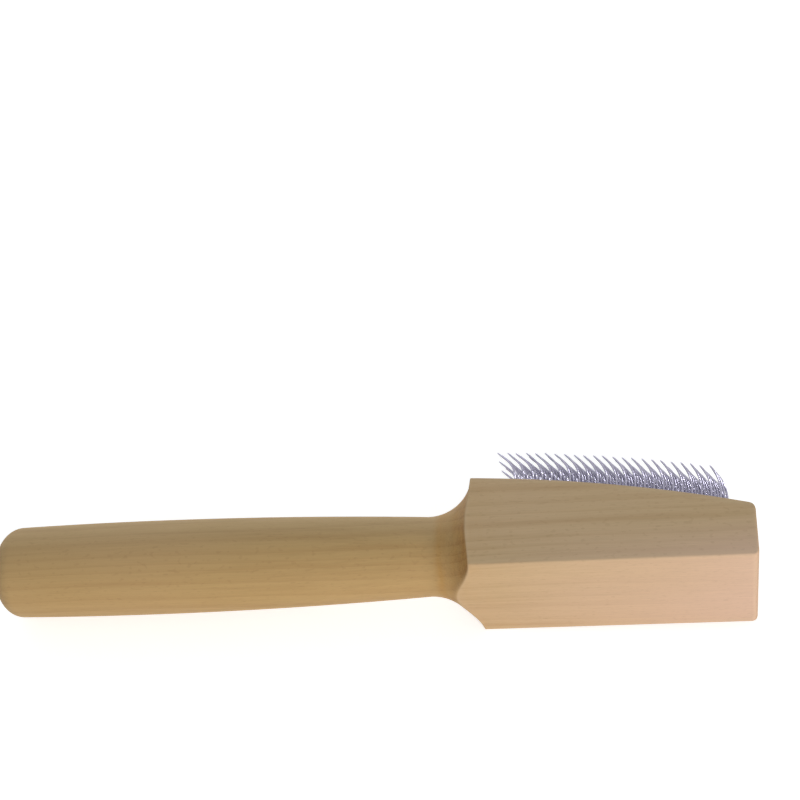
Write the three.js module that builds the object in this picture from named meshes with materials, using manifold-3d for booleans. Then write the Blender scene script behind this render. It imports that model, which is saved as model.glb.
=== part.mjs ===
// Suede brush: a turned beech handle and head in one piece, with a card of bent steel wire on the
// crowned working face. Millimetres. The brush lies on its side: +X runs to the toe of the head, +Y is
// the way the wires point, +Z is up, and the origin is at the middle of the underside of its box.
// It is modelled on the turning axis first, with x = 0 at the neck corner of the head.

import * as THREE from 'three';
import { mergeVertices } from 'three/addons/utils/BufferGeometryUtils.js';
import Module from 'manifold-3d';

// Beech head
const headLength = 68;
const headWidth = 34;
const blankThickness = 24.6;
const toeThickness = 14;
const faceCrown = 1.7;
const edgeRound = 0.5;
const toeBackRound = 1.5;
const toeFaceRound = 2;

// Turned neck and handle
const handleLength = 126;
const coveRadius = 12;
const neckDiameter = 20;
const bellyDiameter = 24.2;
const bellyFromHead = 88;
const buttRound = 5.5;
const buttCrown = 0.8;
const turningAllowance = 3;

// Wire card: a cotton backing, a rubber face and its wired top in strips, glued and stapled on
const cardInset = 3;
const cardFromNeck = 6.2;
const cardFromToe = 2.4;
const backingThickness = 0.7;
const rubberThickness = 0.35;
const stripThickness = 0.35;
const stripCount = 4;
const glueGap = 0.08;

// Wires
const wireDiameter = 0.55;
const wireLength = 10.15;
const wirePitch = 2.27;
const rowPitch = 1.38;
const rowsInTwill = 3;
const wireFromEnds = 4.8;
const footLean = 9;
const tipLean = 49;
const bendFrom = 1.3;
const bendToAtNeck = 6.8;
const bendToAtToe = 10.4;

// Staples
const stapleWidth = 9;
const stapleLeg = 7;
const stapleWireWidth = 0.9;
const stapleWireThickness = 0.55;
const stapleBend = 0.8;
const staplePoint = 0.8;
const stapleFromSide = 9.9;
const stapleFromCardEnd = 1.1;
const stapleClearance = 0.08;

// Facets
const turningSides = 56;
const faceSteps = 14;
const cardSteps = 5;
const cornerSteps = 4;
const edgeSteps = 2;
const buttSteps = 5;
const bellySteps = 12;
const coveSteps = 9;
const wireSides = 3;
const weldDistance = 1e-4;

const wasm = await Module();
wasm.setup();

// A closed geometry as a solid that can be joined and cut.
function solidOf(geometry) {
  const bare = geometry.clone();
  bare.deleteAttribute('normal');
  bare.deleteAttribute('uv');
  const welded = mergeVertices(bare, weldDistance);
  const corners = welded.index.array;
  const triangles = [];
  for (let i = 0; i < corners.length; i += 3) {
    const [a, b, c] = corners.slice(i, i + 3);
    if (a !== b && b !== c && c !== a) triangles.push(a, b, c);
  }
  return new wasm.Manifold(new wasm.Mesh({
    numProp: 3,
    vertProperties: new Float32Array(welded.attributes.position.array),
    triVerts: new Uint32Array(triangles),
  }));
}

function geometryOf(solid) {
  const mesh = solid.getMesh();
  const geometry = new THREE.BufferGeometry();
  geometry.setAttribute('position', new THREE.BufferAttribute(new Float32Array(mesh.vertProperties), 3));
  geometry.setIndex([...mesh.triVerts]);
  geometry.computeVertexNormals();
  return geometry;
}

function arc(centre, radius, from, to, steps) {
  return Array.from({ length: steps + 1 }, (_, i) => {
    const angle = from + (to - from) * i / steps;
    return new THREE.Vector2(centre.x + radius * Math.cos(angle), centre.y + radius * Math.sin(angle));
  });
}

// Working face: one arc in the XY plane from the neck corner to the toe corner.
const neckCorner = new THREE.Vector2(0, blankThickness / 2);
const toeCorner = new THREE.Vector2(headLength, toeThickness - blankThickness / 2);
const faceChord = toeCorner.clone().sub(neckCorner);
const faceRadius = (faceChord.lengthSq() / 4 + faceCrown ** 2) / (2 * faceCrown);
const faceCentre = neckCorner.clone().add(toeCorner).divideScalar(2).addScaledVector(
  new THREE.Vector2(-faceChord.y, faceChord.x).normalize(), faceCrown - faceRadius);
const neckAngle = neckCorner.clone().sub(faceCentre).angle();
const toeAngle = toeCorner.clone().sub(faceCentre).angle();
const faceLength = (neckAngle - toeAngle) * faceRadius;

// Frame on the working face at a distance along the arc: x towards the toe, y out of the face.
function onFace(distance) {
  const angle = neckAngle - distance / faceRadius;
  const frame = new THREE.Object3D();
  frame.position.set(
    faceCentre.x + faceRadius * Math.cos(angle), faceCentre.y + faceRadius * Math.sin(angle), 0);
  frame.rotation.z = angle - Math.PI / 2;
  frame.updateMatrix();
  return frame;
}

// The sawn blank, seen from the side, with the working face cut and the toe corners rounded.
function blankOutline() {
  const backY = -blankThickness / 2;
  const startX = -handleLength - turningAllowance;
  const backRound = new THREE.Vector2(headLength - toeBackRound, backY + toeBackRound);
  const innerRadius = faceRadius - toeFaceRound;
  const faceRoundX = headLength - toeFaceRound;
  const faceRoundY = faceCentre.y + Math.sqrt(innerRadius ** 2 - (faceRoundX - faceCentre.x) ** 2);
  const faceRound = new THREE.Vector2(faceRoundX, faceRoundY);
  const meetAngle = faceRound.clone().sub(faceCentre).angle();
  return new THREE.Shape([
    new THREE.Vector2(startX, backY),
    ...arc(backRound, toeBackRound, -Math.PI / 2, 0, cornerSteps),
    ...arc(faceRound, toeFaceRound, 0, meetAngle, cornerSteps),
    ...arc(faceCentre, faceRadius, meetAngle, neckAngle, faceSteps).slice(1),
    new THREE.Vector2(startX, blankThickness / 2),
  ]);
}

function sawnBlank() {
  const depth = headWidth - 2 * edgeRound;
  const blank = new THREE.ExtrudeGeometry(blankOutline(), {
    depth,
    bevelEnabled: true,
    bevelSize: edgeRound,
    bevelThickness: edgeRound,
    bevelOffset: -edgeRound,
    bevelSegments: edgeSteps,
  });
  return blank.translate(0, 0, -depth / 2);
}

// What the lathe leaves, as a half outline of x and radius: a crowned butt with a rounded corner, a handle
// that swells on one long arc, the neck cove, and room round the corners of the head.
function turningOutline() {
  const neckRadius = neckDiameter / 2;
  const bellyRadius = bellyDiameter / 2;
  const swell = bellyRadius - neckRadius;
  const swellRun = bellyFromHead - coveRadius;
  const swellRadius = (swellRun ** 2 + swell ** 2) / (2 * swell);
  const swellCentre = new THREE.Vector2(-bellyFromHead, bellyRadius - swellRadius);
  const buttDepth = buttRound + buttCrown;
  const shoulderX = buttDepth - handleLength;
  const shoulderAngle = Math.acos((shoulderX - swellCentre.x) / swellRadius);
  const shoulderRadius = swellCentre.y + swellRadius * Math.sin(shoulderAngle);
  const neckSwellAngle = Math.acos(swellRun / swellRadius);
  const cornerCentre = new THREE.Vector2(shoulderX, shoulderRadius - buttRound);
  const crownRadius = (buttDepth ** 2 - buttRound ** 2 + cornerCentre.y ** 2) / (2 * buttCrown);
  const crownCentre = new THREE.Vector2(crownRadius - handleLength, 0);
  const crownAngle = cornerCentre.clone().sub(crownCentre).angle();
  const coveCentre = new THREE.Vector2(-coveRadius, neckRadius + coveRadius);
  const cornerReach = Math.hypot(headWidth, blankThickness) / 2;
  const headRadius = Math.max(cornerReach, neckRadius + coveRadius) + turningAllowance;
  const endX = headLength + turningAllowance;
  return [
    ...arc(crownCentre, crownRadius, Math.PI, crownAngle, cornerSteps),
    ...arc(cornerCentre, buttRound, crownAngle, Math.PI / 2, buttSteps).slice(1),
    ...arc(swellCentre, swellRadius, shoulderAngle, neckSwellAngle, bellySteps).slice(1),
    ...arc(coveCentre, coveRadius, -Math.PI / 2, 0, coveSteps).slice(1),
    new THREE.Vector2(0, headRadius),
    new THREE.Vector2(endX, headRadius),
    new THREE.Vector2(endX, 0),
  ];
}

function turning() {
  const profile = turningOutline().map((point) => new THREE.Vector2(Math.max(point.y, 0), point.x));
  return new THREE.LatheGeometry(profile, turningSides).rotateZ(-Math.PI / 2);
}

// A layer of the card: a band of the face's arc between two heights, across part of the width.
function cardLayer(low, high, fromZ, toZ) {
  const start = neckAngle - cardFromNeck / faceRadius;
  const end = toeAngle + cardFromToe / faceRadius;
  const band = new THREE.Shape([
    ...arc(faceCentre, faceRadius + low, start, end, cardSteps),
    ...arc(faceCentre, faceRadius + high, end, start, cardSteps),
  ]);
  return new THREE.ExtrudeGeometry(band, { depth: toZ - fromZ, bevelEnabled: false }).translate(0, 0, fromZ);
}

// A place on a wire's curve, as x towards the toe and y out of the face: a straight foot, an arc that leans
// more and more to the handle, and what is left beyond it as a straight point.
function alongWire(distance, bendTo) {
  const foot = THREE.MathUtils.degToRad(footLean);
  const bendRadius = (bendTo - bendFrom) / THREE.MathUtils.degToRad(tipLean - footLean);
  const lean = foot + (THREE.MathUtils.clamp(distance, bendFrom, bendTo) - bendFrom) / bendRadius;
  const before = Math.min(distance, bendFrom);
  const beyond = Math.max(distance - bendTo, 0);
  return new THREE.Vector2(
    bendRadius * (Math.cos(lean) - Math.cos(foot)) - before * Math.sin(foot) - beyond * Math.sin(lean),
    bendRadius * (Math.sin(lean) - Math.sin(foot)) + before * Math.cos(foot) + beyond * Math.cos(lean));
}

// A wire standing on a place of the face, with one knee in the middle of its bend. Its three sides hold the
// area of its round section, and it is rooted at half the depth of its strip.
const wireRadius = wireDiameter * Math.sqrt(Math.PI / (3 * Math.sqrt(3)));
const wireRoot = stripThickness / 2;

function wireCorners(frame, z, face, bendTo) {
  const knee = (bendFrom + Math.min(bendTo, wireLength)) / 2;
  const tilt = THREE.MathUtils.degToRad((footLean + tipLean) / 2);
  const ring = (distance) => Array.from({ length: wireSides }, (_, side) => {
    const turn = 2 * Math.PI * side / wireSides;
    const ahead = wireRadius * Math.cos(turn);
    const { x, y } = alongWire(distance, bendTo);
    return new THREE.Vector3(
      x + ahead * Math.cos(tilt), face + y + ahead * Math.sin(tilt), z - wireRadius * Math.sin(turn));
  });
  const tip = alongWire(wireLength, bendTo);
  const corners = [...ring(-wireRoot), ...ring(knee), new THREE.Vector3(tip.x, face + tip.y, z)];
  return corners.map((corner) => corner.applyMatrix4(frame.matrix));
}

function wireTriangles(first) {
  const tip = first + 2 * wireSides;
  const triangles = [];
  for (let side = 0; side < wireSides; side += 1) {
    const next = (side + 1) % wireSides;
    const [low, lowNext] = [first + side, first + next];
    const [high, highNext] = [low + wireSides, lowNext + wireSides];
    triangles.push(low, lowNext, highNext, low, highNext, high, high, highNext, tip);
    if (side > 0 && side < wireSides - 1) triangles.push(first, lowNext, low);
  }
  return triangles;
}

// The rows of one strip. From row to row the wires step along by a share of their pitch, as in twill, and
// the steps run on over all the strips. Towards the toe the bends reach further up the wires.
function wireField(strip, fromZ, toZ, face) {
  const fieldLength = faceLength - cardFromNeck - cardFromToe - 2 * wireFromEnds;
  const wiresInRow = Math.floor(fieldLength / wirePitch) + 1;
  const rows = Math.floor((toZ - fromZ) / rowPitch);
  const middle = (cardFromNeck + faceLength - cardFromToe) / 2;
  const points = [];
  const triangles = [];
  for (let row = 0; row < rows; row += 1) {
    const z = (fromZ + toZ) / 2 + (row - (rows - 1) / 2) * rowPitch;
    const step = (strip * rows + row + 1) % rowsInTwill;
    const stagger = ((rowsInTwill - 1) / 2 - step) * wirePitch / rowsInTwill;
    for (let wire = 0; wire < wiresInRow; wire += 1) {
      const frame = onFace(middle + (wire - (wiresInRow - 1) / 2) * wirePitch + stagger);
      const bendTo = THREE.MathUtils.lerp(bendToAtNeck, bendToAtToe, wire / (wiresInRow - 1));
      triangles.push(...wireTriangles(points.length));
      points.push(...wireCorners(frame, z, face, bendTo));
    }
  }
  return new THREE.BufferGeometry().setFromPoints(points).setIndex(triangles);
}

// A flat-wire staple, crown on the card and legs down into the beech. Its crown runs along local x.
function staple() {
  const half = stapleWidth / 2;
  const inner = half - stapleWireThickness;
  const top = stapleWireThickness;
  const tip = -stapleLeg;
  const bendLeft = new THREE.Vector2(stapleBend - half, top - stapleBend);
  const bendRight = new THREE.Vector2(half - stapleBend, top - stapleBend);
  const outline = new THREE.Shape([
    new THREE.Vector2(-inner, tip + staplePoint),
    new THREE.Vector2(-inner, 0),
    new THREE.Vector2(inner, 0),
    new THREE.Vector2(inner, tip + staplePoint),
    new THREE.Vector2(half, tip),
    ...arc(bendRight, stapleBend, 0, Math.PI / 2, cornerSteps),
    ...arc(bendLeft, stapleBend, Math.PI / 2, Math.PI, cornerSteps),
    new THREE.Vector2(-half, tip),
  ]);
  const wire = new THREE.ExtrudeGeometry(outline, { depth: stapleWireWidth, bevelEnabled: false });
  return wire.translate(0, 0, -stapleWireWidth / 2).rotateY(Math.PI / 2);
}

// The two slits that a staple's legs make on their way in.
function stapleSlits() {
  const width = stapleWireWidth + 2 * stapleClearance;
  const thickness = stapleWireThickness + 2 * stapleClearance;
  const height = stapleLeg + stapleWireThickness + 2 * stapleClearance;
  const legZ = (stapleWidth - stapleWireThickness) / 2;
  return [-legZ, legZ].map((z) => new THREE.BoxGeometry(width, height, thickness).translate(
    0, stapleWireThickness + stapleClearance - height / 2, z));
}

const beech = new THREE.MeshStandardMaterial({ color: 0xcfab82, roughness: 0.6, metalness: 0 });
const cotton = new THREE.MeshStandardMaterial({ color: 0x9a8a70, roughness: 0.95, metalness: 0 });
const rubber = new THREE.MeshStandardMaterial({ color: 0x64626a, roughness: 0.8, metalness: 0 });
const wireSteel = new THREE.MeshStandardMaterial({ color: 0xb9b8c4, roughness: 0.3, metalness: 1 });
const stapleSteel = new THREE.MeshStandardMaterial({ color: 0xc4c4c6, roughness: 0.35, metalness: 1 });

const brush = new THREE.Group();

function addPiece(name, geometry, material) {
  const piece = new THREE.Mesh(geometry, material);
  piece.name = name;
  brush.add(piece);
  return piece;
}

const backingTop = glueGap + backingThickness;
const rubberFoot = backingTop + glueGap;
const rubberTop = rubberFoot + rubberThickness;
const stripFoot = rubberTop + glueGap;
const stripTop = stripFoot + stripThickness;
const cardHalf = headWidth / 2 - cardInset;

// Where the staples sit: two at the neck end of the card and two at the toe end.
const stapleSeats = [];
const stapleZ = headWidth / 2 - stapleFromSide;
const stapleEnds = {
  neck: cardFromNeck + stapleFromCardEnd,
  toe: faceLength - cardFromToe - stapleFromCardEnd,
};
for (const [end, distance] of Object.entries(stapleEnds)) {
  for (const [side, z] of [['lower', -stapleZ], ['upper', stapleZ]]) {
    const frame = onFace(distance);
    frame.translateY(stripTop + glueGap);
    frame.position.z = z;
    frame.updateMatrix();
    stapleSeats.push({ name: `staple_${end}_${side}`, frame });
  }
}
const slits = stapleSeats.flatMap(({ frame }) =>
  stapleSlits().map((slit) => solidOf(slit.applyMatrix4(frame.matrix))));

function withSlits(solid) {
  return slits.reduce((left, slit) => left.subtract(slit), solid);
}

const body = solidOf(sawnBlank()).intersect(solidOf(turning()));
addPiece('wooden_body', geometryOf(withSlits(body)), beech);

const backing = solidOf(cardLayer(glueGap, backingTop, -cardHalf, cardHalf));
addPiece('card_backing', geometryOf(withSlits(backing)), cotton);

const rubberFace = solidOf(cardLayer(rubberFoot, rubberTop, -cardHalf, cardHalf));
addPiece('rubber_face', geometryOf(withSlits(rubberFace)), rubber);

const stripPitch = (2 * cardHalf + glueGap) / stripCount;
for (let strip = 0; strip < stripCount; strip += 1) {
  const fromZ = -cardHalf + strip * stripPitch;
  const toZ = fromZ + stripPitch - glueGap;
  const slice = solidOf(cardLayer(stripFoot, stripTop, fromZ, toZ));
  const wires = solidOf(wireField(strip, fromZ, toZ, stripTop));
  addPiece(`wire_strip_${strip + 1}`, geometryOf(withSlits(slice).add(wires)), wireSteel);
}

for (const { name, frame } of stapleSeats) {
  const piece = addPiece(name, staple(), stapleSteel);
  piece.position.copy(frame.position);
  piece.rotation.copy(frame.rotation);
}

// Stand the finished brush on the middle of the underside of its box.
const box = new THREE.Box3().setFromObject(brush, true);
const centre = box.getCenter(new THREE.Vector3());
brush.position.set(-centre.x, -centre.y, -box.min.z);
brush.updateMatrixWorld(true);

export default brush;
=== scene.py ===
import math
import random

import bmesh
import bpy
import numpy as np
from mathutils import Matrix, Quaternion, Vector


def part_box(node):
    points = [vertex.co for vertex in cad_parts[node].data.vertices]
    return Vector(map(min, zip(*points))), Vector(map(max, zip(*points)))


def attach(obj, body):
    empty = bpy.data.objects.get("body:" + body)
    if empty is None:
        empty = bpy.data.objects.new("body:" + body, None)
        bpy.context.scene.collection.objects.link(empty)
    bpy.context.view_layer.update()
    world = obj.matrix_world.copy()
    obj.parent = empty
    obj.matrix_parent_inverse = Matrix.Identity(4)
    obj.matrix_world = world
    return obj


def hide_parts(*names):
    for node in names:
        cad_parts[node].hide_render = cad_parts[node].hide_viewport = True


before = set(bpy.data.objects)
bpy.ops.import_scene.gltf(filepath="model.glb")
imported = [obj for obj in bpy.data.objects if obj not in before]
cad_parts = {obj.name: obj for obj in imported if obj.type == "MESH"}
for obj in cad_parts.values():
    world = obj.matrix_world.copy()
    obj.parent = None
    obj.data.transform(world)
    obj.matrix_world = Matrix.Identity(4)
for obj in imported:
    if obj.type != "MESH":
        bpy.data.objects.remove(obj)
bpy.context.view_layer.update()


# Wooden body. One length of beech, sawn to a thick blank with a gently crowned working face. The handle is
# turned from the same piece, and the lathe's cove runs out through the flat faces where the head begins.
# It is sanded, its edges are eased, and it has a thin matt finish.
mm = 0.001
head_length = 68.0
blank_thickness = 24.6
toe_thickness = 14.0
face_crown = 1.7
edge_ease = 0.5
toe_back_round = 1.5
toe_face_round = 2.0
cove_radius = 12.0
neck_radius = 10.0
belly_radius = 12.1
belly_from_head = 88.0
butt_round = 5.5
butt_crown = 0.8
pommel_ease = 0.3

body_low, body_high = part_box("wooden_body")
neck_x = body_high.x - head_length * mm
axis_y = body_low.y + blank_thickness / 2 * mm
axis_z = (body_low.z + body_high.z) / 2
head_half = (body_high.z - body_low.z) / 2 / mm
handle_length = (neck_x - body_low.x) / mm


def placed(along, up, across):
    """A point given in mm from the turning axis at the head's neck corner, in the frame's metres."""
    return (neck_x + along * mm, axis_y + up * mm, axis_z + across * mm)


# The working face is one arc, from the neck corner to the toe corner.
neck_corner = np.array([0.0, blank_thickness / 2])
toe_corner = np.array([head_length, toe_thickness - blank_thickness / 2])
face_chord = toe_corner - neck_corner
chord_length = math.hypot(*face_chord)
face_radius = (chord_length ** 2 / 4 + face_crown ** 2) / (2 * face_crown)
face_outward = np.array([-face_chord[1], face_chord[0]]) / chord_length
face_centre = (neck_corner + toe_corner) / 2 + face_outward * (face_crown - face_radius)

# The rounded corner between the working face and the toe end.
toe_round_along = head_length - toe_face_round
toe_round_reach = math.sqrt((face_radius - toe_face_round) ** 2 - (toe_round_along - face_centre[0]) ** 2)
toe_round_up = face_centre[1] + toe_round_reach
toe_round_angle = math.atan2(toe_round_reach, toe_round_along - face_centre[0])
toe_round_start = face_centre[0] + face_radius * math.cos(toe_round_angle)


def round_in(radius, past):
    """How far a rounded edge has drawn in, at a distance past the start of its rounding."""
    past = min(max(past, 0.0), radius)
    return radius - math.sqrt(radius ** 2 - past ** 2)


def head_section(along):
    """The blank's back, working face and half width at a place along it."""
    low = -blank_thickness / 2 + round_in(toe_back_round, along - head_length + toe_back_round)
    half = head_half - round_in(edge_ease, along - head_length + edge_ease)
    if along <= 0:
        high = blank_thickness / 2
    elif along < toe_round_start:
        high = face_centre[1] + math.sqrt(face_radius ** 2 - (along - face_centre[0]) ** 2)
    else:
        past = min(along - toe_round_along, toe_face_round)
        high = toe_round_up + math.sqrt(toe_face_round ** 2 - past ** 2)
    return low, high, half


# The turned handle swells on one long arc and ends in a rounded butt with a slight crown.
swell = belly_radius - neck_radius
swell_run = belly_from_head - cove_radius
swell_radius = (swell_run ** 2 + swell ** 2) / (2 * swell)
butt_depth = butt_round + butt_crown
shoulder_along = butt_depth - handle_length


def handle_radius(along):
    """The radius of the handle at a place between its butt and the cove."""
    reach = along + belly_from_head
    return belly_radius - swell_radius + math.sqrt(swell_radius ** 2 - reach ** 2)


butt_corner_radius = handle_radius(shoulder_along) - butt_round
crown_radius = (butt_depth ** 2 - butt_round ** 2 + butt_corner_radius ** 2) / (2 * butt_crown)
crown_centre = crown_radius - handle_length
crown_edge_angle = math.atan2(butt_corner_radius, shoulder_along - crown_centre)

corner_steps = 6
long_side_steps = 56
short_side_steps = 40


def section_ring(low, high, half):
    """Points round a section of the blank in (up, across): four eased corners and four straight sides."""
    middle = (low + high) / 2
    reach_up = (high - low) / 2 - edge_ease
    reach_across = half - edge_ease
    corners = [(1, 1), (-1, 1), (-1, -1), (1, -1)]
    arcs = []
    for turn, (side_up, side_across) in enumerate(corners):
        angles = np.radians(90 * turn + np.linspace(0, 90, corner_steps + 1))
        arc_up = middle + side_up * reach_up + edge_ease * np.cos(angles)
        arc_across = side_across * reach_across + edge_ease * np.sin(angles)
        arcs.append(np.column_stack([arc_up, arc_across]))
    points = []
    for turn, arc in enumerate(arcs):
        steps = short_side_steps if turn % 2 == 0 else long_side_steps
        following = arcs[(turn + 1) % 4][0]
        shares = np.linspace(0, 1, steps + 2)[1:-1, None]
        points.extend([arc, arc[-1] + (following - arc[-1]) * shares])
    return np.vstack(points)


def outside_blank(points, low, high, half):
    """How far points of (up, across) lie outside the blank's eased section."""
    beyond_up = np.abs(points[:, 0] - (low + high) / 2) - (high - low) / 2 + edge_ease
    beyond_across = np.abs(points[:, 1]) - half + edge_ease
    corner = np.hypot(np.maximum(beyond_up, 0), np.maximum(beyond_across, 0))
    return corner + np.minimum(np.maximum(beyond_up, beyond_across), 0) - edge_ease


def outside_cove(along, points):
    """How far points of (up, across) lie inside the hollow that the lathe cut at the neck."""
    out = np.hypot(points[:, 0], points[:, 1]) - neck_radius - cove_radius
    return cove_radius - np.hypot(along + cove_radius, out)


def eased_most(one, other):
    """The larger of two distances, with the edge where they meet sanded round."""
    near = np.maximum(pommel_ease - np.abs(one - other), 0) / pommel_ease
    return np.maximum(one, other) + near ** 2 * pommel_ease / 4


halvings = 44
search_reach = 1.02


def neck_ring(along):
    """A section where the cove and the flat faces run into each other, found by halving."""
    low, high, half = head_section(along)
    ring = section_ring(low, high, half)
    middle = np.array([(low + high) / 2, 0.0])
    inner = np.zeros(len(ring))
    outer = np.full(len(ring), search_reach)
    for _ in range(halvings):
        share = (inner + outer) / 2
        points = middle + share[:, None] * (ring - middle)
        gap = eased_most(outside_blank(points, low, high, half), outside_cove(along, points))
        inner = np.where(gap < 0, share, inner)
        outer = np.where(gap < 0, outer, share)
    return middle + inner[:, None] * (ring - middle)


# The eased edges are made paler: rubbed wear and a painted edge highlight.
long_edge_rub_width = 0.9
long_edge_rub_depth = 0.5
pommel_rub_width = 0.6
toe_rub_width = 1.1


def edge_wear_and_highlight(along, ring):
    """How near each point of a ring is to an eased edge, from 0 to 1, for rubbed wear and a painted
    highlight.
    """
    low, high, half = head_section(along)
    in_up = np.maximum((high - low) / 2 - edge_ease - np.abs(ring[:, 0] - (low + high) / 2), 0)
    in_across = np.maximum(half - edge_ease - np.abs(ring[:, 1]), 0)
    on_blank = outside_blank(ring, low, high, half)
    in_cove = outside_cove(along, ring)
    near_edge = np.exp(-((in_up + in_across) / long_edge_rub_width) ** 2)
    long_edges = near_edge * np.exp(-(on_blank / long_edge_rub_depth) ** 2)
    pommel = np.exp(-((on_blank - in_cove) / pommel_rub_width) ** 2)
    toe = math.exp(-((head_length - along) / toe_rub_width) ** 2)
    return np.maximum(np.maximum(long_edges, pommel), toe)


lathe_fade = 0.16


def lathe_share(along, ring):
    """1 where the lathe cut a point of a ring, and 0 on the faces that were sanded flat afterwards."""
    if along <= -cove_radius:
        return np.ones(len(ring))
    past_flat = outside_cove(along, ring) - outside_blank(ring, *head_section(along))
    return np.clip(0.5 + past_flat / lathe_fade, 0, 1)


# The cove is darkened by finish that collects in it and by painted shade of the hollow, deepening towards
# the head.
finish_and_shade_in_cove = 0.45
finish_from_head = 10.4
finish_rise = 1.9
finish_and_shade_in_depth = 0.4
cove_depth_from_head = 8.5
cove_depth_rise = 6.0
finish_on_tool_line = 0.42
tool_line_from_head = 8.3
tool_line_width = 1.1
finish_run_over = 0.3
run_over_reach = 7.0


def finish_and_shade_depth(along, ring):
    """How thick finish and painted shade lie, from 0 up: they gather in the cove and run a little over its
    edge.
    """
    turned = lathe_share(along, ring)
    in_cove = finish_and_shade_in_cove * np.clip((along + finish_from_head) / finish_rise, 0, 1)
    in_depth = finish_and_shade_in_depth * np.clip((along + cove_depth_from_head) / cove_depth_rise, 0, 1)
    on_line = finish_on_tool_line * math.exp(-((along + tool_line_from_head) / tool_line_width) ** 2)
    run_over = finish_run_over * np.exp(np.minimum(outside_cove(along, ring), 0) / run_over_reach)
    return turned * (in_cove + in_depth + on_line) + (1 - turned) * run_over


# Rings of points from the butt to the toe, and smaller and smaller ones on the flat toe end.
crown_rings = 13
butt_rings = 13
handle_rings = 58
neck_rings = 120
neck_rings_end = 3.0
head_rings = 59
toe_rings = 15
toe_end_shares = (0.985, 0.95, 0.85, 0.65, 0.4, 0.15)
toe_end_wear = 0.3

directions = section_ring(*head_section(-cove_radius))
directions /= np.hypot(directions[:, 0], directions[:, 1])[:, None]
rings = []
for angle in np.linspace(math.pi, crown_edge_angle, crown_rings + 1)[1:]:
    along = crown_centre + crown_radius * math.cos(angle)
    rings.append((along, directions * crown_radius * math.sin(angle)))
for angle in np.linspace(crown_edge_angle, math.pi / 2, butt_rings + 1)[1:]:
    along = shoulder_along + butt_round * math.cos(angle)
    rings.append((along, directions * (butt_corner_radius + butt_round * math.sin(angle))))
for along in np.linspace(shoulder_along, -cove_radius, handle_rings + 2)[1:-1]:
    rings.append((along, directions * handle_radius(along)))
for along in np.linspace(-cove_radius, neck_rings_end, neck_rings):
    rings.append((along, neck_ring(along)))
for along in np.linspace(neck_rings_end, toe_round_along, head_rings + 1)[1:]:
    rings.append((along, section_ring(*head_section(along))))
for turn in np.linspace(0, math.pi / 2, toe_rings + 1)[1:]:
    along = toe_round_along + toe_face_round * math.sin(turn)
    rings.append((along, section_ring(*head_section(along))))
wear = [edge_wear_and_highlight(along, ring) if along > -cove_radius else np.zeros(len(ring)) for along, ring in rings]
lathe = [lathe_share(along, ring) for along, ring in rings]
gathered_and_shaded = [finish_and_shade_depth(along, ring) for along, ring in rings]
toe_end, toe_ring = rings[-1]
toe_middle = np.array([toe_ring[:, 0].mean(), 0.0])
for share in toe_end_shares:
    rings.append((toe_end, toe_middle + share * (toe_ring - toe_middle)))
    wear.append(np.full(len(toe_ring), toe_end_wear * share))
    lathe.append(np.zeros(len(toe_ring)))
    gathered_and_shaded.append(np.zeros(len(toe_ring)))


def joining_faces(lower, upper):
    """Four-sided faces between two closed loops of points, which are given by their numbers."""
    return list(zip(lower, [*lower[1:], lower[0]], [*upper[1:], upper[0]], upper))


def closing_faces(loop, pole):
    """Three-sided faces from a closed loop of points to one point."""
    return list(zip(loop, [*loop[1:], loop[0]], [pole] * len(loop)))


body_points = [placed(along, up, across) for along, ring in rings for up, across in ring]
ring_size = len(directions)
loops = [range(first, first + ring_size) for first in range(0, len(body_points), ring_size)]
butt_pole = len(body_points)
toe_pole = butt_pole + 1
body_points.append(placed(-handle_length, 0, 0))
body_points.append(placed(toe_end, *toe_middle))
body_faces = closing_faces(loops[0], butt_pole) + closing_faces(loops[-1], toe_pole)
for lower, upper in zip(loops, loops[1:]):
    body_faces.extend(joining_faces(lower, upper))


def make_piece(name, points, faces):
    """A smooth-shaded mesh piece, with its faces turned outward."""
    mesh = bpy.data.meshes.new(name)
    mesh.from_pydata([tuple(point) for point in points], [], faces)
    work = bmesh.new()
    work.from_mesh(mesh)
    bmesh.ops.recalc_face_normals(work, faces=work.faces)
    work.to_mesh(mesh)
    work.free()
    mesh.shade_smooth()
    piece = bpy.data.objects.new(name, mesh)
    bpy.context.scene.collection.objects.link(piece)
    return piece


def mark_points(piece, name, values):
    """A number on every point of a piece, for its material to read."""
    marks = piece.data.attributes.new(name, "FLOAT", "POINT")
    marks.data.foreach_set("value", np.asarray(values, dtype=np.float32))


# The last two numbers of each mark are for the middle points of the butt and of the toe end.
end_grain_edge = 3
body = make_piece("beech_body", body_points, body_faces)
mark_points(body, "edge_wear_and_highlight", np.concatenate([*wear, [0.0, 0.0]]))
mark_points(body, "lathe_share", np.concatenate([*lathe, [1.0, 0.0]]))
mark_points(body, "finish_and_shade_depth", np.concatenate([*gathered_and_shaded, [0.0, 0.0]]))
mark_points(body, "end_grain", [abs(vertex.normal.x) ** end_grain_edge for vertex in body.data.vertices])


def srgb(red, green, blue):
    """A colour from its 0 to 255 values, in the linear numbers that a shader takes."""
    linear = []
    for value in (red, green, blue):
        share = value / 255
        linear.append(share / 12.92 if share <= 0.04045 else ((share + 0.055) / 1.055) ** 2.4)
    return (*linear, 1.0)


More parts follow.
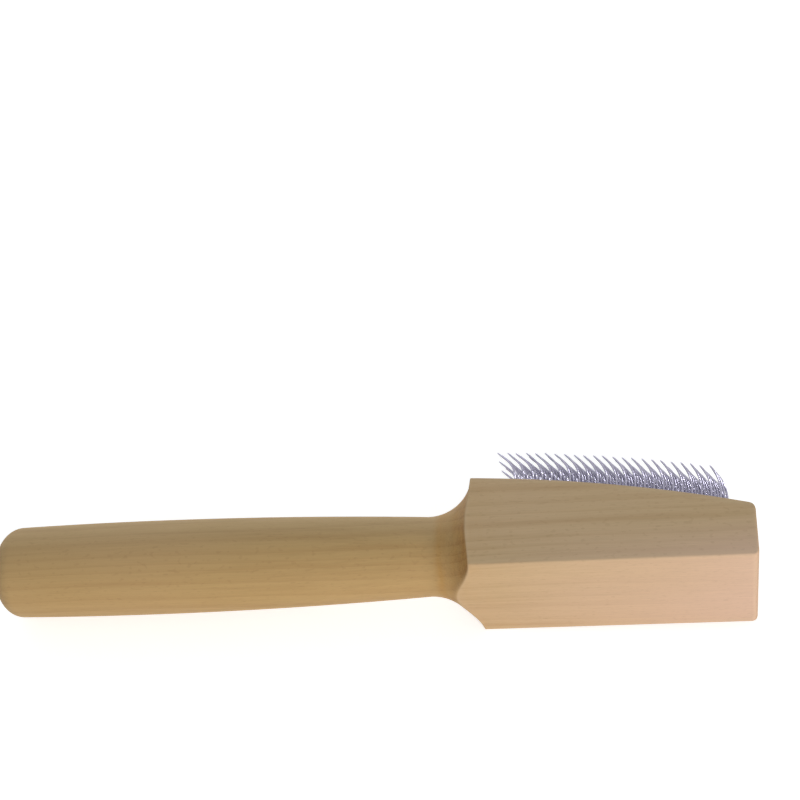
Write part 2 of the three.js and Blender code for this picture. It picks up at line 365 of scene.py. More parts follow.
class Finish:
    """A material under construction, with short calls for the nodes that these finishes use."""

    def __init__(self, name):
        self.material = bpy.data.materials.new(name)
        self.material.use_nodes = True
        self.tree = self.material.node_tree
        self.shader = self.tree.nodes["Principled BSDF"]

    def feed(self, socket, value):
        """Links a socket to another node, or sets its value."""
        if isinstance(value, bpy.types.NodeSocket):
            self.tree.links.new(value, socket)
        else:
            socket.default_value = value

    def place(self):
        """The point on the object, in mm."""
        where = self.tree.nodes.new("ShaderNodeTexCoord").outputs["Object"]
        return self.scaled(where, 1 / mm)

    def scaled(self, where, scale):
        """A place times one number."""
        node = self.tree.nodes.new("ShaderNodeVectorMath")
        node.operation = "SCALE"
        self.feed(node.inputs[0], where)
        node.inputs["Scale"].default_value = scale
        return node.outputs["Vector"]

    def vector(self, operation, one, other=(0, 0, 0)):
        node = self.tree.nodes.new("ShaderNodeVectorMath")
        node.operation = operation
        self.feed(node.inputs[0], one)
        self.feed(node.inputs[1], other)
        return node.outputs["Value" if operation == "LENGTH" else "Vector"]

    def math(self, operation, one, other=0.0, third=0.0):
        node = self.tree.nodes.new("ShaderNodeMath")
        node.operation = operation
        for socket, value in zip(node.inputs, (one, other, third)):
            self.feed(socket, value)
        return node.outputs[0]

    def split(self, vector):
        node = self.tree.nodes.new("ShaderNodeSeparateXYZ")
        self.feed(node.inputs[0], vector)
        return node.outputs

    def join(self, x, y, z):
        node = self.tree.nodes.new("ShaderNodeCombineXYZ")
        for socket, value in zip(node.inputs, (x, y, z)):
            self.feed(socket, value)
        return node.outputs[0]

    def noise(self, where, detail=2.0, roughness=0.5):
        node = self.tree.nodes.new("ShaderNodeTexNoise")
        self.feed(node.inputs["Vector"], where)
        node.inputs["Scale"].default_value = 1.0
        node.inputs["Detail"].default_value = detail
        node.inputs["Roughness"].default_value = roughness
        return node.outputs

    def spread(self, value, window, result=(0.0, 1.0)):
        """A number stretched from a window of its values to a range of results, and held at its ends."""
        node = self.tree.nodes.new("ShaderNodeMapRange")
        self.feed(node.inputs["Value"], value)
        node.inputs["From Min"].default_value = window[0]
        node.inputs["From Max"].default_value = window[1]
        node.inputs["To Min"].default_value = result[0]
        node.inputs["To Max"].default_value = result[1]
        return node.outputs["Result"]

    def blend(self, share, one, other, way="MIX"):
        node = self.tree.nodes.new("ShaderNodeMix")
        node.data_type = "RGBA"
        node.blend_type = way
        colours = [socket for socket in node.inputs if socket.type == "RGBA"]
        self.feed(node.inputs["Factor"], share)
        self.feed(colours[0], one)
        self.feed(colours[1], other)
        return next(socket for socket in node.outputs if socket.type == "RGBA")

    def shaded(self, share, colour, shade):
        """A colour made lighter or darker by a number, on a share of the surface."""
        return self.blend(share, colour, self.join(shade, shade, shade), "MULTIPLY")

    def mark(self, name):
        """The number that the piece's points carry under a name."""
        node = self.tree.nodes.new("ShaderNodeAttribute")
        node.attribute_name = name
        return node.outputs["Fac"]

    def relief(self, height, strength, depth):
        """Fine bumps of a depth in mm."""
        node = self.tree.nodes.new("ShaderNodeBump")
        node.inputs["Strength"].default_value = strength
        node.inputs["Distance"].default_value = depth * mm
        self.feed(node.inputs["Height"], height)
        self.feed(self.shader.inputs["Normal"], node.outputs[0])


# Growth rings. The pith of the tree lay beside this piece, and the rings wander a little along it.
pith_up = 58.0
pith_across = 57.0
wander_scale = (0.014, 0.05, 0.05)
wander_middle = (0.5, 0.5, 0.5)
wander_reach = (0.0, 2.4, 2.4)
ray_circle = 60.0
growth_ring = 2.7
good_year_scale = 0.16
good_year_shift = 3.0
late_wood_start = 0.35
late_wood_end = 0.93
late_wood_curve = 1.8

beech = Finish("beech")
point = beech.place()
wander = beech.noise(beech.vector("MULTIPLY", point, wander_scale), detail=1.0)["Color"]
wander = beech.vector("MULTIPLY", beech.vector("SUBTRACT", wander, wander_middle), wander_reach)
x_along, y_up, z_across = beech.split(beech.vector("ADD", point, wander))
from_pith_up = beech.math("SUBTRACT", y_up, pith_up)
from_pith_across = beech.math("SUBTRACT", z_across, pith_across)
from_pith = beech.vector("LENGTH", beech.join(0.0, from_pith_up, from_pith_across))
pith_angle = beech.math("ARCTAN2", from_pith_across, from_pith_up)
wood = beech.join(x_along, from_pith, beech.math("MULTIPLY", pith_angle, ray_circle))

year = beech.join(0.0, beech.math("MULTIPLY", from_pith, good_year_scale), 0.0)
good_years = beech.noise(year, detail=1.0)["Fac"]
even_rings = beech.math("DIVIDE", from_pith, growth_ring)
ring_place = beech.math("FRACT", beech.math("MULTIPLY_ADD", good_years, good_year_shift, even_rings))
late_rise = beech.spread(ring_place, (late_wood_start, late_wood_end))
late_fall = beech.spread(ring_place, (late_wood_end, 1.0), (1.0, 0.0))
late_wood = beech.math("MULTIPLY", beech.math("POWER", late_rise, late_wood_curve), late_fall)

# Grain. Streaks and fibres run along the piece. The rays of the wood show as short flecks on its sides, and
# on its ends as fine lines across the rings, among the pores.
streak_scale = (0.018, 0.55, 0.55)
fibre_scale = (0.09, 4.2, 4.2)
fleck_scale = (0.7, 1.0, 5.5)
fleck_window = (0.66, 0.74)
end_ray_scale = (0.0, 0.12, 2.6)
end_ray_window = (0.35, 0.65)
end_ray_shade = (1.07, 0.86)
end_pore_window = (0.35, 0.6)
end_pore_shade = (0.82, 1.06)

streaks = beech.noise(beech.vector("MULTIPLY", wood, streak_scale), detail=3.0, roughness=0.55)["Fac"]
fibres = beech.noise(beech.vector("MULTIPLY", wood, fibre_scale), detail=2.0, roughness=0.6)["Fac"]
rays = beech.noise(beech.vector("MULTIPLY", wood, fleck_scale), detail=0.0)["Fac"]
flecks = beech.spread(rays, fleck_window)
end_rays = beech.noise(beech.vector("MULTIPLY", wood, end_ray_scale), detail=1.0)["Fac"]
end_rays = beech.spread(end_rays, end_ray_window, end_ray_shade)
end_pores = beech.spread(fibres, end_pore_window, end_pore_shade)
end_shade = beech.math("MULTIPLY", end_rays, end_pores)

# Colour. The back is paler and pinker towards the toe, a painted sheen. What the lathe cut is browner, and
# the cove darker still, most towards the head: partly where the finish collected and soaked in unevenly,
# partly painted shade of the hollow. The ends are darker, and the edges are rubbed pale, with a painted
# highlight along them.
beech_early = srgb(213, 182, 140)
beech_late = srgb(194, 158, 116)
late_strength = 0.36
end_late_strength = 0.64
beech_streak = srgb(188, 150, 108)
streak_window = (0.5, 0.78)
streak_strength = 0.46
# A pink tone at random, and a painted sheen that makes the back paler and pinker towards the toe.
beech_pink_and_sheen = srgb(230, 194, 170)
broad_scale = (0.016, 0.045, 0.045)
broad_window = (0.35, 0.7)
broad_pink = 0.2
sheen_along = (35.0, 97.0)
sheen_at_toe = 0.8
sheen_up = (-6.0, -17.0)
beech_ray = srgb(160, 116, 82)
fleck_strength = 0.13
lathe_tone = (0.87, 0.81, 0.62, 1.0)
finish_and_shade_tone = (0.98, 0.875, 0.69, 1.0)
blotch_scale = (0.6, 0.22, 0.22)
blotch_window = (0.35, 0.65)
blotch_soak = (0.75, 1.2)
end_grain_tone = (0.80, 0.69, 0.56, 1.0)
fibre_window = (0.25, 0.75)
fibre_tone = (0.95, 1.04)
beech_rubbed_highlight = srgb(226, 198, 162)
rubbed_highlight_strength = 0.22
beech_roughness = (0.66, 0.54)
beech_gloss = 0.35
fleck_dent = 0.4
beech_relief = 0.35
beech_relief_depth = 0.06

end_grain = beech.mark("end_grain")
late_share = beech.math("MULTIPLY_ADD", end_grain, end_late_strength, late_strength)
colour = beech.blend(beech.math("MULTIPLY", late_wood, late_share), beech_early, beech_late)
colour = beech.blend(beech.spread(streaks, streak_window, (0.0, streak_strength)), colour, beech_streak)
broad = beech.noise(beech.vector("MULTIPLY", point, broad_scale), detail=1.0)["Fac"]
# Painted sheen: the back face is made paler and pinker towards the toe.
to_toe = beech.spread(x_along, sheen_along, (0.0, sheen_at_toe))
to_back = beech.spread(y_up, sheen_up)
sheen_to_toe_on_back = beech.math("MULTIPLY", to_toe, to_back)
pink_and_sheen = beech.math("ADD", beech.spread(broad, broad_window, (0.0, broad_pink)), sheen_to_toe_on_back)
colour = beech.blend(pink_and_sheen, colour, beech_pink_and_sheen)
colour = beech.blend(beech.math("MULTIPLY", flecks, fleck_strength), colour, beech_ray)
colour = beech.blend(beech.mark("lathe_share"), colour, lathe_tone, "MULTIPLY")
blotches = beech.noise(beech.vector("MULTIPLY", point, blotch_scale), detail=2.0)["Fac"]
blotches = beech.spread(blotches, blotch_window, blotch_soak)
# The cove made darker: partly finish soaked in unevenly, partly painted shade of the hollow.
soaked_and_shaded = beech.math("MULTIPLY", beech.mark("finish_and_shade_depth"), blotches)
colour = beech.blend(soaked_and_shaded, colour, finish_and_shade_tone, "MULTIPLY")
colour = beech.blend(end_grain, colour, end_grain_tone, "MULTIPLY")
colour = beech.shaded(end_grain, colour, end_shade)
colour = beech.shaded(1.0, colour, beech.spread(fibres, fibre_window, fibre_tone))
# Edges made paler: rubbed wear and a painted edge highlight.
rubbed_highlight = beech.math("MULTIPLY", beech.mark("edge_wear_and_highlight"), rubbed_highlight_strength)
colour = beech.blend(rubbed_highlight, colour, beech_rubbed_highlight)
beech.feed(beech.shader.inputs["Base Color"], colour)
beech.feed(beech.shader.inputs["Roughness"], beech.spread(fibres, fibre_window, beech_roughness))
beech.shader.inputs["Specular IOR Level"].default_value = beech_gloss
dents = beech.math("MULTIPLY", flecks, fleck_dent)
beech.relief(beech.math("SUBTRACT", fibres, dents), beech_relief, beech_relief_depth)
body.data.materials.append(beech.material)
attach(body, "root")
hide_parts("wooden_body")


# Canvas backing. Three plies of cotton cloth cemented into one stiff band, cut square and laid over the
# crowned face of the beech. Only its cut edge shows, with the plies one above the other.
card_inset = 3.0
card_from_neck = 6.2
card_from_toe = 2.4
backing_foot = 0.08
backing_top = 0.78
backing_plies = 3
ply_edge = ((0.0, 0.07), (0.14, 0.02), (0.5, 0.0), (0.86, 0.02))
top_ply_inset = 0.07
ply_fray = 0.03
backing_steps_along = 150
backing_steps_across = 72

neck_angle = math.atan2(*(neck_corner - face_centre)[::-1])
toe_angle = math.atan2(*(toe_corner - face_centre)[::-1])
face_length = (neck_angle - toe_angle) * face_radius
card_start = card_from_neck
card_end = face_length - card_from_toe
card_half = head_half - card_inset


def on_face(distance, height, across):
    """A point at a height over the working face, a distance along its arc from the neck corner."""
    angle = neck_angle - distance / face_radius
    along = face_centre[0] + (face_radius + height) * math.cos(angle)
    up = face_centre[1] + (face_radius + height) * math.sin(angle)
    return placed(along, up, across)


def bent_band(name, levels, steps_along, steps_across, fray, lift=None):
    """A band bent over the face: grids below and above, and between them the levels of its cut edge.

    Each level is a height and how far the edge draws in there. A lift raises places of the upper grid.
    """
    chance = random.Random(name)
    grid = [(i, j) for i in range(steps_along + 1) for j in range(steps_across + 1)]
    edge = [(i, 0) for i in range(steps_along)]
    edge += [(steps_along, j) for j in range(steps_across)]
    edge += [(i, steps_across) for i in range(steps_along, 0, -1)]
    edge += [(0, j) for j in range(steps_across, 0, -1)]
    points = []
    faces = []
    loops = []
    for level, (height, inset) in enumerate(levels):
        top = level == len(levels) - 1
        whole = level == 0 or top
        index = {}
        for spot in grid if whole else edge:
            draw_in = inset + (0.0 if whole else chance.uniform(0, fray))
            distance = card_start + draw_in + (card_end - card_start - 2 * draw_in) * spot[0] / steps_along
            across = (card_half - draw_in) * (2 * spot[1] / steps_across - 1)
            rise = lift(distance, across) if top and lift else 0.0
            index[spot] = len(points)
            points.append(on_face(distance, height + rise, across))
        if whole:
            for i in range(steps_along):
                for j in range(steps_across):
                    faces.append((index[i, j], index[i + 1, j], index[i + 1, j + 1], index[i, j + 1]))
        loops.append([index[spot] for spot in edge])
    for lower, upper in zip(loops, loops[1:]):
        faces.extend(joining_faces(lower, upper))
    return make_piece(name, points, faces)


ply_levels = []
ply_thickness = (backing_top - backing_foot) / backing_plies
for ply in range(backing_plies):
    foot = backing_foot + ply * ply_thickness
    for rise, inset in ply_edge:
        ply_levels.append((foot + rise * ply_thickness, inset))
ply_levels.append((backing_top, top_ply_inset))
backing = bent_band("canvas_backing", ply_levels, backing_steps_along, backing_steps_across, ply_fray)

canvas_yarn = srgb(176, 158, 128)
canvas_shade = srgb(120, 102, 78)
canvas_cement = srgb(98, 80, 62)
yarn_pitch = 0.55
slub_scale = 1.3
slub_window = (0.45, 0.75)
slub_strength = 0.5
stain_scale = 0.25
stain_window = (0.5, 0.8)
stain_strength = 0.6
canvas_rough_window = (0.3, 0.7)
canvas_roughness = (0.98, 0.88)
canvas_gloss = 0.15
canvas_relief = 0.6
canvas_relief_depth = 0.08

canvas = Finish("cotton_canvas")
point = canvas.place()
x_along, _, z_across = canvas.split(point)
warp = canvas.math("SINE", canvas.math("MULTIPLY", x_along, 2 * math.pi / yarn_pitch))
weft = canvas.math("SINE", canvas.math("MULTIPLY", z_across, 2 * math.pi / yarn_pitch))
weave = canvas.spread(canvas.math("MULTIPLY", warp, weft), (-1.0, 1.0))
slubs = canvas.noise(canvas.scaled(point, slub_scale), detail=3.0)["Fac"]
stain = canvas.noise(canvas.scaled(point, stain_scale), detail=2.0)["Fac"]
colour = canvas.blend(weave, canvas_shade, canvas_yarn)
colour = canvas.blend(canvas.spread(slubs, slub_window, (0.0, slub_strength)), colour, canvas_shade)
colour = canvas.blend(canvas.spread(stain, stain_window, (0.0, stain_strength)), colour, canvas_cement)
canvas.feed(canvas.shader.inputs["Base Color"], colour)
canvas.feed(canvas.shader.inputs["Roughness"], canvas.spread(slubs, canvas_rough_window, canvas_roughness))
canvas.shader.inputs["Specular IOR Level"].default_value = canvas_gloss
canvas.relief(canvas.math("ADD", weave, slubs), canvas_relief, canvas_relief_depth)
backing.data.materials.append(canvas.material)
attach(backing, "root")
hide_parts("card_backing")


# Rubber facing. A sheet of rubber moulded on the canvas, which lets each wire give and spring back.
# The wires were pushed through it from behind, so it stands up in a small collar round each of them.
facing_foot = 0.8
facing_top = 1.64
facing_edge = ((0.0, 0.05), (0.06, 0.0), (0.45, 0.02), (0.8, 0.0), (0.93, 0.05), (1.0, 0.16))
facing_unevenness = 0.02
facing_steps_along = 240
facing_steps_across = 112
wire_pitch = 2.27
row_pitch = 1.38
rows_in_twill = 3
wire_from_ends = 4.8
wire_strips = 4
rows_in_strip = 5
strip_gap = 0.08
collar_height = 0.16
collar_reach = 0.42

wires_in_row = int((card_end - card_start - 2 * wire_from_ends) / wire_pitch) + 1
field_middle = (card_start + card_end) / 2
strip_pitch = (2 * card_half + strip_gap) / wire_strips
wire_feet = []
for strip in range(wire_strips):
    strip_middle = -card_half + (strip + 0.5) * strip_pitch - strip_gap / 2
    feet = []
    for row in range(rows_in_strip):
        across = strip_middle + (row - (rows_in_strip - 1) / 2) * row_pitch
        step = (strip * rows_in_strip + row + 1) % rows_in_twill
        stagger = ((rows_in_twill - 1) / 2 - step) * wire_pitch / rows_in_twill
        for wire in range(wires_in_row):
            distance = field_middle + (wire - (wires_in_row - 1) / 2) * wire_pitch + stagger
            feet.append((distance, across, wire / (wires_in_row - 1)))
    wire_feet.append(feet)
all_feet = np.array([foot for feet in wire_feet for foot in feet])


def collar(distance, across):
    """How far the rubber stands up at a place, from the nearest wire."""
    away = np.hypot(all_feet[:, 0] - distance, all_feet[:, 1] - across).min()
    return collar_height * math.exp(-(away / collar_reach) ** 2)


facing_levels = []
for rise, inset in facing_edge:
    facing_levels.append((facing_foot + rise * (facing_top - facing_foot), inset))
facing = bent_band(
    "rubber_facing", facing_levels, facing_steps_along, facing_steps_across, facing_unevenness, collar)

rubber_dark = srgb(92, 90, 96)
rubber_bloom = srgb(124, 122, 127)
bloom_scale = 0.35
bloom_window = (0.42, 0.72)
bloom_strength = 0.8
rubber_rough_window = (0.4, 0.7)
rubber_roughness = (0.62, 0.85)
skin_scale = 5.0
rubber_relief = 0.3
rubber_relief_depth = 0.04

rubber = Finish("faced_rubber")
point = rubber.place()
bloom = rubber.noise(rubber.scaled(point, bloom_scale), detail=4.0, roughness=0.6)["Fac"]
skin = rubber.noise(rubber.scaled(point, skin_scale), detail=3.0)["Fac"]
colour = rubber.blend(rubber.spread(bloom, bloom_window, (0.0, bloom_strength)), rubber_dark, rubber_bloom)
rubber.feed(rubber.shader.inputs["Base Color"], colour)
rubber.feed(rubber.shader.inputs["Roughness"], rubber.spread(bloom, rubber_rough_window, rubber_roughness))
rubber.relief(skin, rubber_relief, rubber_relief_depth)
facing.data.materials.append(rubber.material)
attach(facing, "root")
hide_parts("rubber_face")


# Wires. Rows of round drawn steel wire, each set in the card, bent towards the handle and ground to a
# point, so that they comb the nap one way. They are cut to one length, and their bends reach further up
# towards the toe. Use has worn them a little and pushed some of them over.
wire_radius = 0.275
wire_length = 10.15
wire_root = 0.6
foot_lean = 9.0
tip_lean = 49.0
bend_from = 1.3
bend_to_at_neck = 6.8
bend_to_at_toe = 10.4
point_taper = 1.6
point_width = 0.42
pushed_over = 1.4
sideways_spread = 0.5
bend_spread = 0.25
worn_off = 0.35
wire_seed = 19
wire_sides = 8
bend_steps = 11
foot_share = 0.4
point_shares = (0.7, 0.4, 0.15, 0.0)


def along_wire(distance, lean, bend_to):
    """A place on a wire's curve in (towards the toe, out of the face)."""
    foot = math.radians(foot_lean)
    bend_radius = (bend_to - bend_from) / math.radians(lean - foot_lean)
    turned = foot + (min(max(distance, bend_from), bend_to) - bend_from) / bend_radius
    before = min(distance, bend_from)
    beyond = max(distance - bend_to, 0.0)
    ahead = bend_radius * (math.cos(turned) - math.cos(foot))
    out = bend_radius * (math.sin(turned) - math.sin(foot))
    ahead -= before * math.sin(foot) + beyond * math.sin(turned)
    out += before * math.cos(foot) + beyond * math.cos(turned)
    return np.array([ahead, out])


def wire_line(lean, bend_to, length):
    """The wire's middle line in (towards the toe, out of the face), from its root to its point."""
    distances = [-wire_root]
    distances.extend(np.linspace(foot_share * bend_from, length - point_taper, bend_steps))
    distances.extend(length - point_taper * share for share in point_shares)
    return [along_wire(distance, lean, bend_to) for distance in distances]


def wire_rows(name, feet, chance):
    """All the wires of one strip of the card, as one piece."""
    points = []
    faces = []
    heights = []
    for distance, across, to_toe in feet:
        lean = tip_lean + abs(chance.gauss(0, pushed_over))
        sideways = math.tan(math.radians(chance.gauss(0, sideways_spread)))
        bend_to = bend_to_at_neck + (bend_to_at_toe - bend_to_at_neck) * to_toe
        bend_to += chance.uniform(-bend_spread, bend_spread)
        line = wire_line(lean, bend_to, wire_length - chance.uniform(0, worn_off))
        angle = neck_angle - distance / face_radius
        outward = np.array([math.cos(angle), math.sin(angle)])
        towards_toe = np.array([outward[1], -outward[0]])
        foot = face_centre + outward * (face_radius + facing_top)
        end = line[-1]
        loops = []
        for step, spot in enumerate(line[:-1]):
            run = line[step + 1] - line[max(step - 1, 0)]
            side = np.array([run[1], -run[0]]) / np.linalg.norm(run)
            to_point = min(np.linalg.norm(end - spot) / point_taper, 1.0)
            radius = wire_radius * (point_width + (1 - point_width) * math.sqrt(to_point))
            height = max(spot[1], 0)
            loops.append(range(len(points), len(points) + wire_sides))
            for turn in range(wire_sides):
                around = 2 * math.pi * turn / wire_sides
                ahead, out = spot + side * radius * math.cos(around)
                along, up = foot + towards_toe * ahead + outward * out
                aside = sideways * height + radius * math.sin(around)
                points.append(placed(along, up, across + aside))
                heights.append(height / end[1])
        along, up = foot + towards_toe * end[0] + outward * end[1]
        points.append(placed(along, up, across + sideways * end[1]))
        heights.append(1.0)
        for lower, upper in zip(loops, loops[1:]):
            faces.extend(joining_faces(lower, upper))
        faces.extend(closing_faces(loops[-1], len(points) - 1))
        faces.append(tuple(loops[0]))
    piece = make_piece(name, points, faces)
    mark_points(piece, "share_of_height", heights)
    return piece


wire_bright = srgb(182, 179, 196)
wire_drawn = srgb(154, 151, 169)
wire_low_tone = srgb(124, 118, 131)
drawn_scale = 2.2
drawn_window = (0.35, 0.7)
low_patch_scale = 0.5
low_patch_height = (0.0, 0.3)
low_patch_strength = (0.8, 0.0)
steel_rough_window = (0.3, 0.75)
steel_roughness = (0.09, 0.14)
steel_relief = 0.03
steel_relief_depth = 0.02

steel = Finish("drawn_steel")
point = steel.place()
drawn = steel.noise(steel.scaled(point, drawn_scale), detail=3.0, roughness=0.6)["Fac"]
low_patches = steel.noise(steel.scaled(point, low_patch_scale), detail=2.0)["Fac"]
# The wires are darker in patches towards their roots, near the rubber.
near_rubber = steel.spread(steel.mark("share_of_height"), low_patch_height, low_patch_strength)
colour = steel.blend(steel.spread(drawn, drawn_window), wire_drawn, wire_bright)
colour = steel.blend(steel.math("MULTIPLY", near_rubber, low_patches), colour, wire_low_tone)
steel.feed(steel.shader.inputs["Base Color"], colour)
steel.feed(steel.shader.inputs["Roughness"], steel.spread(drawn, steel_rough_window, steel_roughness))
steel.shader.inputs["Metallic"].default_value = 1.0
steel.relief(drawn, steel_relief, steel_relief_depth)
chance = random.Random(wire_seed)
for strip, feet in enumerate(wire_feet, start=1):
    rows = wire_rows(f"wire_rows_{strip}", feet, chance)
    rows.data.materials.append(steel.material)
    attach(rows, "root")
    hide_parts(f"wire_strip_{strip}")


# Staples. Four flat-wire staples, two at each bare end of the card, driven through rubber and canvas into
# the beech. Their crowns lie across the brush on the rubber, and dip a little in the middle.
staple_width = 9.0
staple_leg = 7.0
staple_wire_width = 0.9
staple_wire_thickness = 0.55
staple_wire_round = 0.16
staple_bend = 0.525
staple_dip = 0.05
staple_from_side = 9.9
staple_from_card_end = 1.1
staple_clearance = 0.08
wire_round_steps = 5
staple_bend_steps = 9
crown_shares = (0.25, 0.5, 0.75)

staple_section = []
flat_half = staple_wire_width / 2 - staple_wire_round
thick_half = staple_wire_thickness / 2 - staple_wire_round
for turn, (side_one, side_other) in enumerate([(1, 1), (-1, 1), (-1, -1), (1, -1)]):
    for angle in np.radians(90 * turn + np.linspace(0, 90, wire_round_steps)):
        wide = side_one * flat_half + staple_wire_round * math.cos(angle)
        thick = side_other * thick_half + staple_wire_round * math.sin(angle)
        staple_section.append((wide, thick))


def staple_line():
    """The middle line of a staple in (across, out), with the direction out of its wire at each point."""
    reach = (staple_width - staple_wire_thickness) / 2
    crown = staple_wire_thickness / 2
    bend_across = reach - staple_bend
    bend_out = crown - staple_bend
    line = [((-reach, crown - staple_leg), (-1.0, 0.0))]
    for angle in np.linspace(math.pi, math.pi / 2, staple_bend_steps):
        out = (math.cos(angle), math.sin(angle))
        line.append(((-bend_across + staple_bend * out[0], bend_out + staple_bend * out[1]), out))
    for share in crown_shares:
        dip = staple_dip * math.sin(math.pi * share)
        line.append(((bend_across * (2 * share - 1), crown - dip), (0.0, 1.0)))
    for angle in np.linspace(math.pi / 2, 0, staple_bend_steps):
        out = (math.cos(angle), math.sin(angle))
        line.append(((bend_across + staple_bend * out[0], bend_out + staple_bend * out[1]), out))
    line.append(((reach, crown - staple_leg), (1.0, 0.0)))
    return line


def staple(name, distance, across):
    """One staple with its crown on the rubber at a place on the face."""
    points = []
    loops = []
    for (aside, out), (out_aside, out_up) in staple_line():
        loops.append(range(len(points), len(points) + len(staple_section)))
        for wide, thick in staple_section:
            height = facing_top + staple_clearance + out + thick * out_up
            points.append(on_face(distance + wide, height, across + aside + thick * out_aside))
    faces = [tuple(loops[0]), tuple(loops[-1])]
    for lower, upper in zip(loops, loops[1:]):
        faces.extend(joining_faces(lower, upper))
    return make_piece(name, points, faces)


staple_bright = srgb(206, 206, 206)
staple_dull = srgb(150, 150, 152)
plate_scale = 1.8
plate_window = (0.35, 0.7)
zinc_rough_window = (0.3, 0.7)
zinc_roughness = (0.48, 0.3)
zinc_relief = 0.2
zinc_relief_depth = 0.03

zinc = Finish("zinc_plate")
plate = zinc.noise(zinc.scaled(zinc.place(), plate_scale), detail=4.0, roughness=0.65)["Fac"]
colour = zinc.blend(zinc.spread(plate, plate_window), staple_dull, staple_bright)
zinc.feed(zinc.shader.inputs["Base Color"], colour)
zinc.feed(zinc.shader.inputs["Roughness"], zinc.spread(plate, zinc_rough_window, zinc_roughness))
zinc.shader.inputs["Metallic"].default_value = 1.0
zinc.relief(plate, zinc_relief, zinc_relief_depth)
staple_across = head_half - staple_from_side
for end, distance in (("neck", card_start + staple_from_card_end), ("toe", card_end - staple_from_card_end)):
    for side, across in (("lower", -staple_across), ("upper", staple_across)):
        fastener = staple(f"staple_{end}_{side}_wire", distance, across)
        fastener.data.materials.append(zinc.material)
        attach(fastener, "root")
        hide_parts(f"staple_{end}_{side}")


# Floor. A plain pale sheet under the brush, which lies on the edge of its head and on the side of its
# handle, so the sheet leans by the angle between those two places of rest.
floor_size = 4.0
floor_lean = 2.5
floor_gap = 0.1
rest_along = -1.05

slope = math.radians(floor_lean)
rest_x, _, rest_z = placed(rest_along, 0, -head_half)
floor_corners = []
for x_side, y_side in ((-1, -1), (1, -1), (1, 1), (-1, 1)):
    ahead = x_side * floor_size / 2
    drop = ahead * math.sin(slope) + floor_gap * mm
    floor_corners.append((rest_x + ahead * math.cos(slope), y_side * floor_size / 2, rest_z - drop))
floor = make_piece("floor", floor_corners, [(0, 1, 2, 3)])


def background_share(tree):
    """1 for a ray that shows the background: seen straight, in metal or through something clear."""
    rays = tree.nodes.new("ShaderNodeLightPath").outputs
    share = rays["Is Camera Ray"]
    for kind in ("Is Glossy Ray", "Is Transmission Ray"):
        either = tree.nodes.new("ShaderNodeMath")
        either.operation = "MAXIMUM"
        tree.links.new(share, either.inputs[0])
        tree.links.new(rays[kind], either.inputs[1])
        share = either.outputs[0]
    return share


white = (1.0, 1.0, 1.0, 1.0)
floor_pale = srgb(243, 240, 237)
floor_paler = srgb(245, 242, 239)
floor_grain_scale = 0.02
floor_grain_window = (0.3, 0.7)
floor_roughness = 0.9
floor_gloss = 0.1
floor_glow = 0.66

paper = Finish("pale_floor")
grain = paper.noise(paper.scaled(paper.place(), floor_grain_scale), detail=2.0)["Fac"]
colour = paper.blend(paper.spread(grain, floor_grain_window), floor_pale, floor_paler)
paper.feed(paper.shader.inputs["Base Color"], colour)
paper.shader.inputs["Roughness"].default_value = floor_roughness
paper.shader.inputs["Specular IOR Level"].default_value = floor_gloss
paper.shader.inputs["Emission Color"].default_value = white
glow = paper.math("MULTIPLY", background_share(paper.tree), floor_glow)
paper.feed(paper.shader.inputs["Emission Strength"], glow)
floor.data.materials.append(paper.material)


# Light and camera. Even, slightly cool light from all round, and three flat lamps: a broad warm one low in
# front of the back face and nearer the toe, a weak cool one on the wires' side, and a narrow one high over
# that side, which draws the glints on the wires. The camera stands where the picture was taken from.
room_light = 0.37
room_colour = (0.93, 1.0, 1.02, 1.0)

room = bpy.data.worlds.new("room")
room.use_nodes = True
bpy.context.scene.world = room
nodes = room.node_tree.nodes
links = room.node_tree.links
around = nodes["Background"]
around.inputs["Color"].default_value = room_colour
around.inputs["Strength"].default_value = room_light
backdrop = nodes.new("ShaderNodeBackground")
backdrop.inputs["Color"].default_value = white
backdrop.inputs["Strength"].default_value = 1.0
choose = nodes.new("ShaderNodeMixShader")
links.new(background_share(room.node_tree), choose.inputs[0])
links.new(around.outputs[0], choose.inputs[1])
links.new(backdrop.outputs[0], choose.inputs[2])
links.new(choose.outputs[0], nodes["World Output"].inputs["Surface"])


def looking(azimuth, elevation):
    """The direction from the brush towards something at an azimuth and elevation round it."""
    turn = math.radians(azimuth)
    rise = math.radians(elevation)
    return Vector((math.sin(turn) * math.cos(rise), -math.cos(turn) * math.cos(rise), math.sin(rise)))


def facing_brush(direction, tilt):
    """The turn of a lamp or camera that looks back from a direction, tilted about its line of sight."""
    return (-direction).to_track_quat("-Z", "Y") @ Quaternion((0, 0, 1), math.radians(tilt))


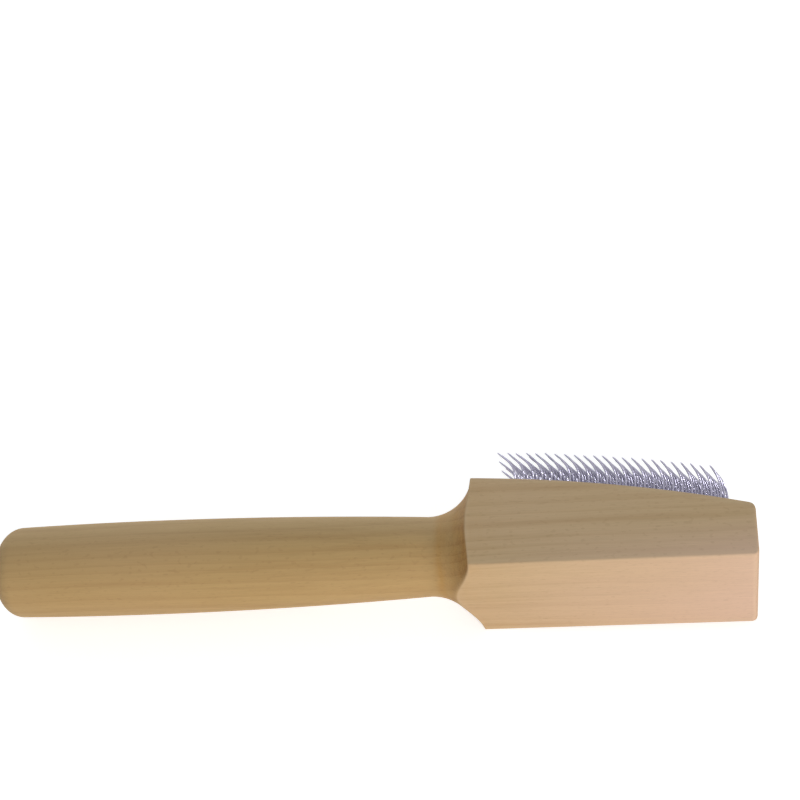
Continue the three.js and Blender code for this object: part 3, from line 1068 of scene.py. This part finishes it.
def add_lamp(name, direction, distance, size, power, colour, tilt=0.0):
    """A flat lamp that faces the brush from one side, out of the camera's sight."""
    lamp_data = bpy.data.lights.new(name, "AREA")
    lamp_data.shape = "RECTANGLE"
    lamp_data.size, lamp_data.size_y = size
    lamp_data.energy = power
    lamp_data.color = colour
    lamp = bpy.data.objects.new(name, lamp_data)
    bpy.context.scene.collection.objects.link(lamp)
    lamp.location = Vector(placed(0, 0, 0)) + direction * distance
    lamp.rotation_mode = "QUATERNION"
    lamp.rotation_quaternion = facing_brush(direction, tilt)
    lamp.visible_camera = False
    return lamp


front_azimuth = 32.0
front_elevation = 6.0
front_distance = 0.95
front_size = (0.7, 0.7)
front_power = 7.1
front_colour = (1.0, 0.93, 0.84)
front_direction = looking(front_azimuth, front_elevation)
add_lamp("front_lamp", front_direction, front_distance, front_size, front_power, front_colour)

fill_azimuth = 192.0
fill_elevation = 20.0
fill_distance = 0.95
fill_size = (0.9, 0.9)
fill_power = 2.6
fill_colour = (0.9, 0.96, 1.0)
fill_direction = looking(fill_azimuth, fill_elevation)
add_lamp("fill_lamp", fill_direction, fill_distance, fill_size, fill_power, fill_colour)

glint_azimuth = 149.0
glint_elevation = 45.0
glint_distance = 2.4
glint_size = (0.08, 0.7)
glint_power = 4.2
glint_colour = (1.0, 1.0, 1.0)
glint_tilt = -36.0
glint_direction = looking(glint_azimuth, glint_elevation)
glint_lamp = add_lamp(
    "glint_lamp", glint_direction, glint_distance, glint_size, glint_power, glint_colour, glint_tilt)
glint_lamp.visible_diffuse = False

camera_sensor = 36.0
camera_lens = 72.0
camera_along = 50.03
camera_up = -196.97
camera_across = 348.24
camera_azimuth = 16.412
camera_elevation = 53.662
camera_roll = -16.531
camera_data = bpy.data.cameras.new("camera")
camera_data.sensor_width = camera_sensor
camera_data.lens = camera_lens
camera = bpy.data.objects.new("camera", camera_data)
bpy.context.scene.collection.objects.link(camera)
camera.location = placed(camera_along, camera_up, camera_across)
camera.rotation_mode = "QUATERNION"
camera.rotation_quaternion = facing_brush(looking(camera_azimuth, camera_elevation), camera_roll)
bpy.context.scene.camera = camera
bpy.context.scene.view_settings.view_transform = "Standard"
